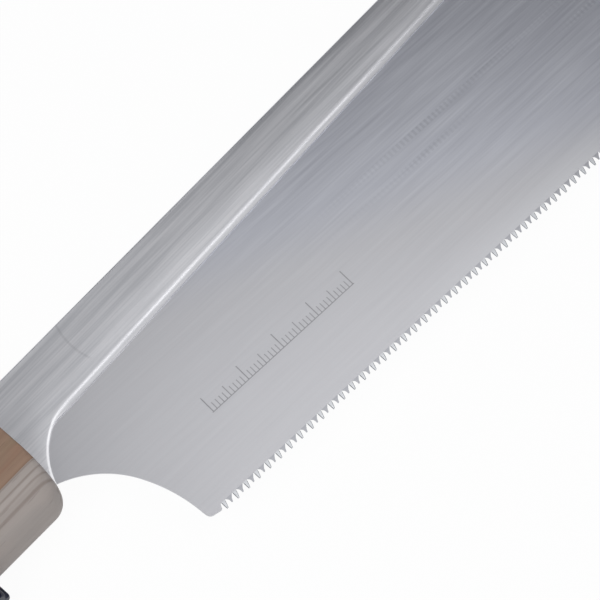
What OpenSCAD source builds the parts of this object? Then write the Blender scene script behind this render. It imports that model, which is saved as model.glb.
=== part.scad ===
/* [Handle] */
// Length of the handle from nose to tail
handle_len = 215; // [180:1:260]
// Height of the handle at its nose and tail
handle_h = 33; // [31:0.5:38]
// Thickness of the handle between its two flat sides
handle_t = 20; // [19.5:0.5:24]
// How far each long edge of the handle draws in at the waist
waist = 1; // [0.4:0.1:2]
// Height of the dark core between the two pale cheeks
core_h = 14.4; // [13.6:0.2:16]
// Radius of the nose and tail corners, seen from the flat side
corner_r = 4.5; // [2:0.5:7]
// Rounding of the nose and tail into the flat sides
edge_r = 1; // [0.5:0.25:3]
// Radius of the hang hole
hang_r = 3; // [2:0.25:4]
// Distance from the tail to the hang hole
hang_inset = 12; // [9:1:25]

/* [Saw plate] */
// Thickness of the saw plate
plate_t = 0.3; // [0.25:0.05:0.5]
// Number of teeth
teeth = 120; // [60:1:160]
// Distance from tooth to tooth
tooth_pitch = 1.5; // [1:0.1:2]
// Depth of a tooth below the gullet line
tooth_depth = 1.9; // [1.2:0.1:2.4]
// How far a tooth tip leans towards the handle
tooth_lean = 0.3; // [0:0.05:0.5]
// Angle to which the teeth are bent out in turn, to one side and the other
tooth_set = 4; // [1:0.5:6]
// How far the bend of a tooth reaches into the plate
tooth_root = 0.3; // [0.2:0.05:0.5]
// Width of the flat at the bottom of a gullet
gullet_flat = 0.16; // [0.1:0.02:0.3]
// Distance from the nose of the handle to the first gullet
first_gullet = 19.3; // [17:0.1:30]
// Depth from the spine to the first gullet
heel_depth = 51.3; // [48:0.1:60]
// Angle between the spine and the tooth line
flare = 3.94; // [0:0.02:5]
// Length of the plain land in front of the first tooth
heel_land = 3.4; // [2:0.1:6]
// How far the lowest point of the land stands below the gullet line
land_drop = 1.2; // [0.9:0.1:1.8]
// Distance from the lowest point of the land to the first gullet
land_back = 0.8; // [0.6:0.1:1.5]
// Width of the land's steep flank at the first gullet
land_flank = 0.4; // [0.2:0.05:0.5]
// How far the land is rounded off above that flank
land_round = 0.25; // [0.1:0.05:0.5]
// Depth of the heel's corner below the gullet line
corner_drop = 0.6; // [0.4:0.02:1]
// Radius of the heel curve next to the land
heel_low_r = 39; // [30:0.5:50]
// Angle that the lower heel curve turns through
heel_turn = 24.5; // [15:0.5:32]
// Radius of the heel curve next to the handle
heel_high_r = 22.7; // [20:0.1:26]
// Length of the plain land after the last tooth
toe_land = 2; // [1:0.5:6]
// Radius of the upper corner at the toe
toe_r = 12; // [8:0.5:16]

/* [Folded back] */
// Height of the spine above the middle of the handle
spine_y = 12.1; // [11:0.1:13]
// Thickness of the folded sheet
back_wall = 0.6; // [0.4:0.05:0.8]
// Depth of the back where its bend begins
back_depth = 14.4; // [13:0.1:15.5]
// Angle by which the lip of the back nears the spine towards the toe
lip_taper = 1.8; // [1:0.02:2]
// Radius of the first, tight part of the bend of the lip
bend_front_r = 6.5; // [5:0.5:9]
// Angle of the lip where its tight bend ends
bend_front_end = 28.7; // [22:0.1:34]
// Radius of the wide part of the bend, at the handle
bend_rear_r = 17.1; // [14:0.1:20]
// Angle of the lip at the nose of the handle
bend_end = 71.5; // [65:0.1:80]
// How deep the lip overlaps the saw plate
lip_overlap = 3; // [2:0.1:4]
// How far the toe of the back stays behind the toe of the saw plate
back_inset = 0.8; // [0.4:0.1:2]
// Distance from the nose of the handle to the saw plate's end inside the back
plate_end_in = 23.8; // [20:0.1:30]
// Radius of the rounded end that the saw plate has inside the back
plate_end_r = 15.4; // [12:0.2:20]
// Depth of the middle of that rounded end below the spine
plate_end_depth = 6.2; // [5.4:0.1:7]

/* [Tang and socket] */
// How deep the neck of the back goes into the nose of the handle
neck_in = 4; // [3:0.5:7]
// Length of the tang behind the neck
tang_len = 52; // [44:1:70]
// Chamfer at the end of the tang
tang_chamfer = 2; // [1:0.25:3]
// Radius of the tang rivets
tang_rivet_r = 2; // [1.5:0.1:2.5]
// Distance from the neck to the front tang rivet
tang_rivet_front = 8; // [5:0.5:12]
// Distance from the end of the tang to its back rivet
tang_rivet_back = 11; // [6:0.5:14]
// Thickness of the socket's sheet
socket_wall = 0.8; // [0.6:0.1:1.2]
// Length of the stop block behind the tang
stop_len = 20; // [18:0.5:26]
// Distance from each end of the stop block to a socket rivet
rivet_inset = 4.5; // [3.5:0.25:5]
// Radius of the socket rivets
socket_rivet_r = 1.5; // [1:0.1:2]
// Radius of the socket rivets' heads
rivet_head_r = 3; // [2.5:0.1:3.6]
// Thickness of the socket rivets' heads
rivet_head_t = 1; // [0.6:0.1:1.6]

/* [Clamp] */
// Distance from the nose of the handle back to the clamp screw
screw_setback = 31.3; // [24:0.1:34]
// Mean radius of the screw thread
thread_r = 2.7; // [2.5:0.05:3]
// Radius of the clamp shoe
shoe_r = 2.4; // [2:0.05:2.4]
// Depth of the shoe's groove, which straddles the edge of the tang
shoe_groove = 1; // [0.6:0.1:1.4]
// Length of the shoe below its groove
shoe_len = 4.15; // [3.6:0.05:4.4]
// Radius of the spigot on which the shoe sits
spigot_r = 1.25; // [1:0.05:1.4]
// Length of the spigot
spigot_len = 2.1; // [1.6:0.1:2.4]
// Outer radius of the threaded insert
insert_r = 4.8; // [4:0.1:5.2]
// Radius of the insert's flange
flange_r = 6.4; // [5.8:0.1:7]
// Thickness of the insert's flange
flange_t = 1; // [0.6:0.1:1.2]
// Depth of wood between the insert and the core
insert_roof = 2.6; // [2:0.1:3]
// Radius of the knob
knob_r = 9; // [8:0.1:9.6]
// Height of the knob
knob_h = 3.9; // [3.6:0.1:6]
// Gap between the knob and the handle with the clamp tight
knob_gap = 0.65; // [0.5:0.05:2]
// Radius of the knob's rounded rims
knob_rim_r = 0.6; // [0.4:0.1:1.2]
// Number of flutes round the knob
flutes = 12; // [8:1:16]
// Radius of a flute
flute_r = 2; // [1.5:0.1:2.4]
// Depth of a flute
flute_depth = 0.7; // [0.4:0.1:1]
// Width across the flats of the screw's hexagon head
hex_af = 8; // [7:0.5:10]
// Height of the screw's head
hex_h = 2.4; // [2:0.1:2.6]
// Depth of the head below the knob's end
hex_sunk = 0.4; // [0.2:0.1:0.5]

/* [Clearances] */
// Gap between the saw plate and each wall of the back
plate_gap = 0.01; // [0.01:0.01:0.03]
// Gap between the tang and the socket
tang_gap = 0.1; // [0.06:0.01:0.2]
// Gap round fixed pieces that are glued, pressed or riveted in
seat_gap = 0.03; // [0.01:0.01:0.05]
// Running gap of the screw in its insert and of the shoe on its spigot
run_gap = 0.05; // [0.03:0.01:0.08]
// Free gap round the shoe in the wood, and round the neck in the nose
free_gap = 0.3; // [0.2:0.05:0.4]
// Gap between the parts that the clamp presses together
touch_gap = 0.05; // [0.02:0.01:0.1]

/* [Hidden] */
$fn = 96;
// Points on each computed arc of an outline
arc_steps = 16;
// Reach of cutting shapes past what they cut
over = 1;

nose_x = screw_setback;
tail_x = nose_x - handle_len;
mid_z = handle_t / 2;
round_r = handle_t / 2;
half_h = handle_h / 2;

slot_half = plate_t / 2 + plate_gap;
back_half = slot_half + back_wall;
bend_len = bend_front_r * (sin(bend_front_end) - sin(lip_taper))
    + bend_rear_r * (sin(bend_end) - sin(bend_front_end));
front_centre = [bend_len + bend_front_r * sin(lip_taper), back_depth + bend_front_r * cos(lip_taper)];
rear_centre = front_centre + (bend_front_r - bend_rear_r) * lip_dir(bend_front_end);
neck_depth = rear_centre[1] - bend_rear_r * cos(bend_end);
plate_top = back_half;
// Angle of the lip up to which the hidden edge of the saw plate follows it
hidden_turn = 45;

toe_u = tooth_point(teeth * tooth_pitch + toe_land, 0)[0];
toe_depth = tooth_point(teeth * tooth_pitch + toe_land, 0)[1];
heel_corner = tooth_point(-heel_land, corner_drop);
heel_low_centre = heel_corner - [heel_low_r, 0];
heel_high_centre = heel_low_centre + (heel_low_r - heel_high_r) * heel_dir(heel_turn);

tang_half = core_h / 2 - seat_gap - socket_wall - tang_gap;
tang_end_x = nose_x - neck_in - tang_len;
socket_half = back_half + tang_gap;
socket_out = socket_half + socket_wall;
socket_roof = tang_half + tang_gap;
socket_end_x = tang_end_x - tang_gap - stop_len;
slot_end_x = socket_end_x - seat_gap;
rivet_xs = [socket_end_x + stop_len - rivet_inset, socket_end_x + rivet_inset];
tang_rivet_xs = [nose_x - neck_in - tang_rivet_front, tang_end_x + tang_rivet_back];

shoe_seat_y = -tang_half - touch_gap;
shoe_end_y = shoe_seat_y - shoe_len;
guide_r = shoe_r + free_gap;
guide_top_y = shoe_seat_y + shoe_groove + free_gap;
groove_half = back_half + tang_gap;
insert_top_y = -core_h / 2 - insert_roof;
spot_r = flange_r + free_gap;
seat_y = -half_h + round_r - sqrt(pow(round_r, 2) - pow(spot_r, 2)) + touch_gap;
knob_top_y = -half_h - knob_gap;
knob_end_y = knob_top_y - knob_h;
hex_end_y = knob_end_y + hex_sunk;
shank_top_y = shoe_end_y - touch_gap;

// Direction from the centre of a lip arc to the lip, where the lip has the given angle
function lip_dir(angle) = [-sin(angle), -cos(angle)];
// Direction from the centre of a heel arc to the heel, where the heel has the given angle
function heel_dir(angle) = [cos(angle), -sin(angle)];
// Point on the tooth line's own axes, along it from the first gullet and outwards from it
function tooth_point(along, out) = [
    first_gullet + along * cos(flare) - out * sin(flare),
    heel_depth + along * sin(flare) + out * cos(flare)
];
function steps(from, to) = [for (i = [0 : arc_steps]) from + (to - from) * i / arc_steps];
// Bend of the lip from its straight part to a given angle, moved towards the spine by shift
function lip_bend(shift, last) = concat(
    [for (a = steps(lip_taper, bend_front_end)) front_centre + (bend_front_r + shift) * lip_dir(a)],
    [for (a = steps(bend_front_end, last)) rear_centre + (bend_rear_r + shift) * lip_dir(a)]
);
// Depth of the waist at a place along the handle
function waist_at(x) = waist * (1 - pow((2 * x - nose_x - tail_x) / (handle_len - 2 * corner_r), 2));
// Quarter round corner of the handle's outline
function corner_arc(centre, from) = [
    for (a = steps(from, from + 90)) centre + corner_r * [cos(a), sin(a)]
];
function reversed(list) = [for (i = [len(list) - 1 : -1 : 0]) list[i]];
// Heel curve from the land up to the nose of the handle
heel_last = acos(-heel_high_centre[0] / heel_high_r);
heel_curve = concat(
    [for (a = steps(0, heel_turn)) heel_low_centre + heel_low_r * heel_dir(a)],
    [for (a = steps(heel_turn, heel_last)) heel_high_centre + heel_high_r * heel_dir(a)]
);
// Rounded end of the saw plate inside the back, from below upwards
plate_end_low = back_depth - lip_overlap - plate_end_depth;
plate_end_high = plate_end_depth - plate_top;
function plate_end(shift) = [
    for (a = steps(asin((plate_end_low - shift) / plate_end_r), -asin(plate_end_high / plate_end_r)))
        [plate_end_in + plate_end_r * (1 - cos(a)) - shift, plate_end_depth + plate_end_r * sin(a)]
];

// Draws an outline given as distance ahead of the nose and depth below the spine
module blade_axes() {
    translate([nose_x, spine_y])
        mirror([0, 1])
            children();
}

// Turns an outline in Y and Z into a bar along X
module bar_along_x(from, to) {
    translate([from, 0, 0])
        rotate([90, 0, 90])
            linear_extrude(to - from)
                children();
}

// Cylinder along Y between two heights
module post(r, from, to) {
    translate([0, to, mid_z])
        rotate([90, 0, 0])
            cylinder(r = r, h = to - from);
}

module rounded_rectangle(size, r) {
    translate([r, 0])
        square([size[0] - 2 * r, size[1]]);
    translate([0, r])
        square([size[0], size[1] - 2 * r]);
    for (x = [r, size[0] - r])
        for (y = [r, size[1] - r])
            translate([x, y])
                circle(r);
}

// Outline of the handle seen from its flat side, with both long edges drawn in at the waist
module handle_outline() {
    x_low = tail_x + corner_r;
    x_high = nose_x - corner_r;
    y_high = half_h - corner_r;
    polygon(concat(
        [for (x = steps(x_low, x_high)) [x, waist_at(x) - half_h]],
        corner_arc([x_high, -y_high], -90),
        corner_arc([x_high, y_high], 0),
        [for (x = steps(x_high, x_low)) [x, half_h - waist_at(x)]],
        corner_arc([x_low, y_high], 90),
        corner_arc([x_low, -y_high], 180)
    ));
}

// The handle's outside before it is parted into core and cheeks
module handle_blank() {
    intersection() {
        bar_along_x(tail_x, nose_x)
            union() {
                translate([-half_h + round_r, 0])
                    square([handle_h - 2 * round_r, handle_t]);
                for (y = [-1, 1])
                    translate([y * (half_h - round_r), mid_z])
                        circle(round_r);
            }
        translate([0, 0, -over])
            linear_extrude(handle_t + 2 * over)
                handle_outline();
        translate([tail_x, half_h + over, 0])
            rotate([90, 0, 0])
                linear_extrude(handle_h + 2 * over)
                    rounded_rectangle([handle_len, handle_t], edge_r);
    }
}

// The layer of the blank between two heights
module handle_layer(low, high) {
    intersection() {
        handle_blank();
        translate([tail_x - over, low, -over])
            cube([handle_len + 2 * over, high - low, handle_t + 2 * over]);
    }
}

// Room for the neck in the nose of the handle
module neck_mouth() {
    translate([nose_x - neck_in - free_gap, spine_y - neck_depth - free_gap, mid_z - socket_half])
        cube([neck_in + free_gap + over, neck_depth + 2 * free_gap, 2 * socket_half]);
}

module handle_core() {
    color("#8a7464")
        difference() {
            handle_layer(-core_h / 2, core_h / 2);
            translate([slot_end_x, -core_h / 2 - over, mid_z - socket_out - seat_gap])
                cube([nose_x - slot_end_x + over, core_h + 2 * over, 2 * (socket_out + seat_gap)]);
            post(guide_r, -core_h / 2 - over, guide_top_y);
            translate([tail_x + hang_inset, 0, -over])
                cylinder(r = hang_r, h = handle_t + 2 * over);
            for (x = rivet_xs)
                translate([x, 0, 0])
                    socket_rivet(seat_gap, over);
        }
}

module upper_cheek() {
    color("#a89f9a")
        difference() {
            handle_layer(core_h / 2, half_h + over);
            neck_mouth();
        }
}

module lower_cheek() {
    color("#a89f9a")
        difference() {
            handle_layer(-half_h - over, -core_h / 2);
            neck_mouth();
            post(guide_r, insert_top_y - over, -core_h / 2 + over);
            post(insert_r + seat_gap, seat_y - over, insert_top_y);
            post(spot_r, -half_h - over, seat_y);
        }
}

// Folded steel channel, closed along the top, in which the tang slides
module tang_socket() {
    color("#a9abad")
        difference() {
            bar_along_x(socket_end_x, nose_x - edge_r)
                difference() {
                    translate([-core_h / 2, mid_z - socket_out])
                        square([core_h / 2 + socket_roof + socket_wall, 2 * socket_out]);
                    translate([-core_h / 2 - over, mid_z - socket_half])
                        square([core_h / 2 + over + socket_roof, 2 * socket_half]);
                }
            translate([nose_x - neck_in - free_gap, 0, mid_z - socket_half])
                cube([neck_in + free_gap + over, half_h, 2 * socket_half]);
            post(guide_r, -core_h / 2 - over, guide_top_y);
            for (x = rivet_xs)
                translate([x, 0, 0])
                    cylinder(r = socket_rivet_r + seat_gap, h = handle_t);
        }
}

// Block between the walls of the channel, against which the tang ends
module tang_stop() {
    color("#8f9295")
        difference() {
            translate([socket_end_x, -tang_half, mid_z - socket_half + seat_gap])
                cube([stop_len, 2 * tang_half, 2 * (socket_half - seat_gap)]);
            for (x = rivet_xs)
                translate([x, 0, 0])
                    cylinder(r = socket_rivet_r + seat_gap, h = handle_t);
        }
}

// Rivet across the handle with a sunk head at each flat side, grown by a gap all round and
// reaching past the flat sides
module socket_rivet(gap, reach) {
    translate([0, 0, -reach]) {
        cylinder(r = socket_rivet_r + gap, h = handle_t + 2 * reach);
        cylinder(r = rivet_head_r + gap, h = rivet_head_t + reach);
    }
    translate([0, 0, handle_t - rivet_head_t])
        cylinder(r = rivet_head_r + gap, h = rivet_head_t + reach);
}

module socket_rivets() {
    color("#c3c5c7")
        for (x = rivet_xs)
            translate([x, 0, 0])
                socket_rivet(0, -touch_gap);
}

module screw_insert() {
    color("#b79a52")
        difference() {
            union() {
                post(insert_r, seat_y, insert_top_y);
                post(flange_r, seat_y - flange_t, seat_y);
            }
            post(thread_r + run_gap, seat_y - flange_t - over, insert_top_y + over);
        }
}

// Outline of the saw plate up to its gullet line
module plate_outline() {
    end = teeth * tooth_pitch;
    corner = [toe_u - toe_r, plate_top + toe_r];
    polygon(concat(
        reversed(heel_curve),
        [tooth_point(-land_back, land_drop), tooth_point(-land_flank, land_drop - land_round)],
        [tooth_point(0, 0), tooth_point(end, 0), [toe_u, toe_depth]],
        [for (a = steps(0, 90)) corner + toe_r * heel_dir(a)],
        reversed(plate_end(0)),
        lip_bend(lip_overlap, hidden_turn)
    ));
}

// One tooth, seen from the side, on the tooth line's own axes
module tooth_outline() {
    polygon([
        [gullet_flat / 2, -tooth_root],
        [tooth_pitch - gullet_flat / 2, -tooth_root],
        [tooth_pitch - gullet_flat / 2, 0],
        [tooth_pitch / 2 - tooth_lean, tooth_depth],
        [gullet_flat / 2, 0]
    ]);
}

module saw_plate() {
    color("#b3b5b8")
        union() {
            translate([0, 0, mid_z - plate_t / 2])
                linear_extrude(plate_t)
                    blade_axes()
                        plate_outline();
            translate([nose_x + first_gullet, spine_y - heel_depth, mid_z])
                rotate([0, 0, -flare])
                    for (i = [0 : teeth - 1])
                        translate([i * tooth_pitch, 0, 0])
                            rotate([i % 2 == 0 ? tooth_set : -tooth_set, 0, 0])
                                translate([0, 0, -plate_t / 2])
                                    linear_extrude(plate_t)
                                        mirror([0, 1])
                                            tooth_outline();
        }
}

// Outline of the folded back, its neck and the tang
module back_outline() {
    far = toe_u + over;
    far_depth = back_depth - (far - bend_len) * tan(lip_taper);
    end_u = toe_u - back_inset;
    tang_u = -neck_in - tang_len;
    tang_top = spine_y - tang_half;
    tang_low = spine_y + tang_half;
    intersection() {
        polygon(concat(
            [[-neck_in, 0], [far, 0], [far, far_depth]],
            lip_bend(0, bend_end),
            [[-neck_in, neck_depth], [-neck_in, tang_low]],
            [[tang_u + tang_chamfer, tang_low], [tang_u, tang_low - tang_chamfer]],
            [[tang_u, tang_top + tang_chamfer], [tang_u + tang_chamfer, tang_top]],
            [[-neck_in, tang_top]]
        ));
        union() {
            translate([tang_u - over, -over])
                square([end_u - toe_r - tang_u + over, neck_depth + 2 * over]);
            translate([end_u - toe_r, toe_r])
                circle(toe_r);
            translate([end_u - 2 * toe_r, toe_r])
                square([2 * toe_r, neck_depth]);
        }
    }
}

// Section of the fold: a flat bar with a round top edge under the spine
module fold_section(half) {
    translate([-half_h - handle_h, mid_z - half])
        square([half_h + handle_h + spine_y - back_half, 2 * half]);
    translate([spine_y - back_half, mid_z])
        circle(half);
}

module tang_rivet_holes(r) {
    for (x = tang_rivet_xs)
        translate([x, 0, mid_z - back_half - over])
            cylinder(r = r, h = 2 * (back_half + over));
}

module blade_back() {
    color("#bcbdc0")
        difference() {
            intersection() {
                translate([0, 0, mid_z - back_half - over])
                    linear_extrude(2 * (back_half + over))
                        blade_axes()
                            back_outline();
                bar_along_x(tang_end_x - over, nose_x + toe_u + over)
                    fold_section(back_half);
            }
            bar_along_x(tang_end_x - 2 * over, nose_x + toe_u + 2 * over)
                fold_section(slot_half);
            tang_rivet_holes(tang_rivet_r + seat_gap);
        }
}

// Sheet that fills the fold from the end of the saw plate back through the tang
module tang_filler() {
    color("#9c9ea1")
        difference() {
            translate([0, 0, mid_z - plate_t / 2])
                linear_extrude(plate_t)
                    blade_axes()
                        intersection() {
                            back_outline();
                            polygon(concat(
                                [[-neck_in - tang_len - over, plate_top]],
                                reversed(plate_end(tang_gap)),
                                lip_bend(lip_overlap + tang_gap, hidden_turn),
                                [[-2 * tang_gap, neck_depth + over]],
                                [[-neck_in - tang_len - over, neck_depth + over]]
                            ));
                        }
            tang_rivet_holes(tang_rivet_r + seat_gap);
        }
}

module tang_rivets() {
    color("#c3c5c7")
        for (x = tang_rivet_xs)
            translate([x, 0, mid_z - back_half])
                cylinder(r = tang_rivet_r, h = 2 * back_half);
}

// Pad that turns freely on the screw's spigot and straddles the edge of the tang
module clamp_shoe() {
    color("#b79a52")
        difference() {
            post(shoe_r, shoe_end_y, shoe_seat_y + shoe_groove);
            translate([-shoe_r - over, shoe_seat_y, mid_z - groove_half])
                cube([2 * (shoe_r + over), shoe_groove + over, 2 * groove_half]);
            post(spigot_r + run_gap, shoe_end_y - over, shoe_end_y + spigot_len);
        }
}

module clamp_screw() {
    color("#c3c5c7")
        union() {
            translate([0, hex_end_y + hex_h, mid_z])
                rotate([90, 0, 0])
                    cylinder(r = hex_af / 2 / cos(30), h = hex_h, $fn = 6);
            post(thread_r, hex_end_y + hex_h / 2, shank_top_y);
            post(spigot_r, shank_top_y - over, shoe_end_y + spigot_len - touch_gap);
        }
}

module clamp_knob() {
    color("#2b2d36")
        difference() {
            translate([0, knob_top_y, mid_z])
                rotate([90, 0, 0])
                    rotate_extrude() {
                        square([knob_r - knob_rim_r, knob_h]);
                        translate([0, knob_rim_r])
                            square([knob_r, knob_h - 2 * knob_rim_r]);
                        for (y = [knob_rim_r, knob_h - knob_rim_r])
                            translate([knob_r - knob_rim_r, y])
                                circle(knob_rim_r);
                    }
            for (i = [0 : flutes - 1])
                translate([0, 0, mid_z])
                    rotate([0, (i + 0.5) * 360 / flutes, 0])
                        translate([knob_r - flute_depth + flute_r, knob_top_y + over, 0])
                            rotate([90, 0, 0])
                                cylinder(r = flute_r, h = knob_h + 2 * over);
            post(thread_r + seat_gap, knob_end_y - over, knob_top_y + over);
            translate([0, hex_end_y + hex_h + seat_gap, mid_z])
                rotate([90, 0, 0])
                    cylinder(r = hex_af / 2 / cos(30) + seat_gap, h = hex_h + hex_sunk + over, $fn = 6);
        }
}

handle_core();
upper_cheek();
lower_cheek();
tang_socket();
tang_stop();
socket_rivets();
screw_insert();
saw_plate();
blade_back();
tang_filler();
tang_rivets();
clamp_shoe();
clamp_screw();
clamp_knob();
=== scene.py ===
# %% [markdown]
# # A pull saw with a folded back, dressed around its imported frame
# The saw lies on the flat side of its handle. Its thin plate is held in a folded steel back, the
# back runs into a tang, and a knob under the handle clamps the tang in the wood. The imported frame
# already has every piece in its place, so this lesson only adds what a frame lacks: true curves,
# filed teeth, a rolled lip, a cut thread, and finishes with grain.

# %% Load the frame
import math

import bmesh
import bpy
import numpy as np
from mathutils import Matrix


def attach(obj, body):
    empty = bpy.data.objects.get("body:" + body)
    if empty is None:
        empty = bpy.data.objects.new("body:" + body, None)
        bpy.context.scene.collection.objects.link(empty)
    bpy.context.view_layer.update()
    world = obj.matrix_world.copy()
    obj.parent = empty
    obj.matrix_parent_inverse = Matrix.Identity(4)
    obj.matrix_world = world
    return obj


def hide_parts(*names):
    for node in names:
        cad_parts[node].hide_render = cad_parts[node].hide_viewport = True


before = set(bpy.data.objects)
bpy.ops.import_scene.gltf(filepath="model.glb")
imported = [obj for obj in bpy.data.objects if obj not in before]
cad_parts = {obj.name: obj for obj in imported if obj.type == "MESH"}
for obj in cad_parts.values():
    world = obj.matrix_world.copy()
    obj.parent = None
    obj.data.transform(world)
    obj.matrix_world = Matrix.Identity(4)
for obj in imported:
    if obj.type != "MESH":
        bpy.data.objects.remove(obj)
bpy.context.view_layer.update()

# %% [markdown]
# ## Where the camera stands
# A camera can be turned by hand until the picture looks right, or worked out from something of a
# known pitch. The teeth are as even as a ruler, so their spacing in the picture gave the tilt, the
# distance and the lens. The camera looks down on the plate, 21.7 degrees off the vertical, with a
# long lens.

# %% Camera
MM = 0.001
look_at = np.array([94.05, -21.95, 10.0])
image_right = np.array([0.6638, -0.7479, 0.0])
image_up_flat = np.array([0.7479, 0.6638, 0.0])
straight_up = np.array([0.0, 0.0, 1.0])
tilt, away = math.radians(21.67), 497.5
towards_camera = math.cos(tilt) * straight_up - math.sin(tilt) * image_up_flat
camera_up = math.cos(tilt) * image_up_flat + math.sin(tilt) * straight_up

lens = bpy.data.cameras.new("Camera")
lens.lens, lens.sensor_width = 144.0, 36.0
lens.clip_start, lens.clip_end = 0.01, 20.0
camera = bpy.data.objects.new("Camera", lens)
bpy.context.scene.collection.objects.link(camera)
stand = np.eye(4)
stand[:3, 0], stand[:3, 1], stand[:3, 2] = image_right, camera_up, towards_camera
stand[:3, 3] = (look_at + away * towards_camera) * MM
camera.matrix_world = Matrix(stand.tolist())
bpy.context.scene.camera = camera
bpy.context.scene.view_settings.view_transform = "Standard"
print("camera at", np.round(stand[:3, 3], 4))

# %% [markdown]
# ## Expressions instead of boxes and wires
# Finishes are sums and products of patterns. They could be wired node by node, which is long and
# hard to read. Here a small class wraps a socket, so that an expression such as tone * 0.5 adds the
# Math node by itself, and one method adds any other node.

# %% A wire that does sums
class Wire:
    """An output socket of a node tree that can be used in Python expressions."""

    def __init__(self, tree, socket):
        self.tree, self.socket = tree, socket

    def node(self, kind, settings=None, inputs=None, output=0):
        """Add a node of a kind, with its settings first and then values or wires on its inputs."""
        made = self.tree.nodes.new(kind)
        for key, value in (settings or {}).items():
            setattr(made, key, value)
        for key, value in (inputs or {}).items():
            if isinstance(value, Wire):
                self.tree.links.new(value.socket, made.inputs[key])
            else:
                made.inputs[key].default_value = value
        return Wire(self.tree, made.outputs[output])

    def maths(self, operation, a, b=0.0):
        """Add a Math node on one or two wires or numbers."""
        return self.node("ShaderNodeMath", {"operation": operation}, {0: a, 1: b})

    def __add__(self, other):
        return self.maths("ADD", self, other)

    def __radd__(self, other):
        return self.maths("ADD", other, self)

    def __sub__(self, other):
        return self.maths("SUBTRACT", self, other)

    def __mul__(self, other):
        return self.maths("MULTIPLY", self, other)

    def __truediv__(self, other):
        return self.maths("DIVIDE", self, other)

    def __abs__(self):
        return self.maths("ABSOLUTE", self)

    def __lt__(self, other):
        return self.maths("LESS_THAN", self, other)

    def __gt__(self, other):
        return self.maths("GREATER_THAN", self, other)


def linear(red, green, blue):
    """A colour read off a screen, 0 to 255, as the linear colour that a shader takes."""
    c = np.array([red, green, blue]) / 255.0
    c = np.where(c <= 0.04045, c / 12.92, ((c + 0.055) / 1.055) ** 2.4)
    return (*c.tolist(), 1.0)


print("wires can add, subtract, multiply, divide and compare")

# %% [markdown]
# ## The patterns that the finishes share
# Metal and wood both have grain that is long one way and fine the other. A noise on stretched
# Object coordinates gives it, in metres, so that every pattern stays on its piece.

# %% Grain, mixing and starting a finish
def start_finish(name, **constants):
    """A new material, its shader with constant inputs set, and a wire of Object coordinates."""
    material = bpy.data.materials.new(name)
    material.use_nodes = True
    tree = material.node_tree
    shader = tree.nodes["Principled BSDF"]
    for key, value in constants.items():
        shader.inputs[key.replace("_", " ")].default_value = value
    place = Wire(tree, tree.nodes.new("ShaderNodeTexCoord").outputs["Object"])
    return material, shader, place


def feed(shader, **wires):
    """Link wires to the shader's inputs of those names."""
    for key, wire in wires.items():
        wire.tree.links.new(wire.socket, shader.inputs[key.replace("_", " ")])


def grain(place, per_metre, turn=0.0, detail=3.0, twist=0.0, shift=0.0):
    """Noise from 0 to 1 with so many features per metre along each axis, turned about Z."""
    along = place.node(
        "ShaderNodeMapping",
        {"vector_type": "TEXTURE"},
        {"Vector": place, "Rotation": (0.0, 0.0, turn), "Location": (shift, shift, shift)},
    )
    along = along.node(
        "ShaderNodeVectorMath", {"operation": "MULTIPLY"}, {0: along, 1: per_metre}
    )
    return along.node(
        "ShaderNodeTexNoise",
        {},
        {"Vector": along, "Scale": 1.0, "Detail": detail, "Distortion": twist},
    )


def smooth(wire, low, high, to_low=0.0, to_high=1.0):
    """A soft step from to_low to to_high while the wire goes from low to high."""
    return wire.node(
        "ShaderNodeMapRange",
        {"interpolation_type": "SMOOTHSTEP"},
        {"Value": wire, "From Min": low, "From Max": high, "To Min": to_low, "To Max": to_high},
    )


def tint(factor, first, second):
    """A colour between two colours."""
    return factor.node(
        "ShaderNodeMix", {"data_type": "RGBA"}, {0: factor, 6: first, 7: second}, output=2
    )


def relief(height, depth):
    """A bump of so many metres from a height of 0 to 1."""
    return height.node("ShaderNodeBump", {}, {"Height": height, "Distance": depth})


def painted_light_on(place):
    """The painted shade and painted highlight that a piece carries on its points, as its marks."""
    return place.node("ShaderNodeAttribute", {"attribute_name": "marks"}, output=2)


def split(place):
    """The three coordinates of a place, in metres."""
    return [place.node("ShaderNodeSeparateXYZ", {}, {"Vector": place}, output=i) for i in range(3)]


print("patterns ready: grain, smooth, tint, relief, marks, split")

# %% [markdown]
# ## Floor, lamps and the room
# Bright steel has hardly any colour of its own: it shows the room. The room here is a pale tent
# that darkens overhead. A soft box hangs over the heel and the teeth, so the plate mirrors it there
# and the darker roof towards the spine and the toe. A narrow box off to the tooth side draws the
# bright line on the rolled lip and round its bend. Two more light the wood, from the side and from
# behind the handle, where the plate does not mirror them.

# %% Floor and room
def seen_directly(tree):
    """One for rays from the camera, from mirrors and through glass, and zero for the others."""
    rays = tree.nodes.new("ShaderNodeLightPath")
    seen = Wire(tree, rays.outputs["Is Camera Ray"])
    seen = seen + Wire(tree, rays.outputs["Is Glossy Ray"])
    seen = seen + Wire(tree, rays.outputs["Is Transmission Ray"])
    return seen.maths("MINIMUM", seen, 1.0)


floor_paint = bpy.data.materials.new("Pale floor")
floor_paint.use_nodes = True
floor_tree = floor_paint.node_tree
floor_tree.nodes.clear()
seen = seen_directly(floor_tree)
grey, white, glow_share = (0.5, 0.5, 0.5, 1), (1, 1, 1, 1), 0.95
paint = tint(seen, grey, white)
paint = paint.node("ShaderNodeBsdfDiffuse", {}, {"Color": paint})
glow = seen.node("ShaderNodeEmission", {}, {"Color": white, "Strength": 1.0})
floor_look = seen.node("ShaderNodeMixShader", {}, {0: seen * glow_share, 1: paint, 2: glow})
floor_out = floor_tree.nodes.new("ShaderNodeOutputMaterial")
floor_tree.links.new(floor_look.socket, floor_out.inputs["Surface"])

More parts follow.
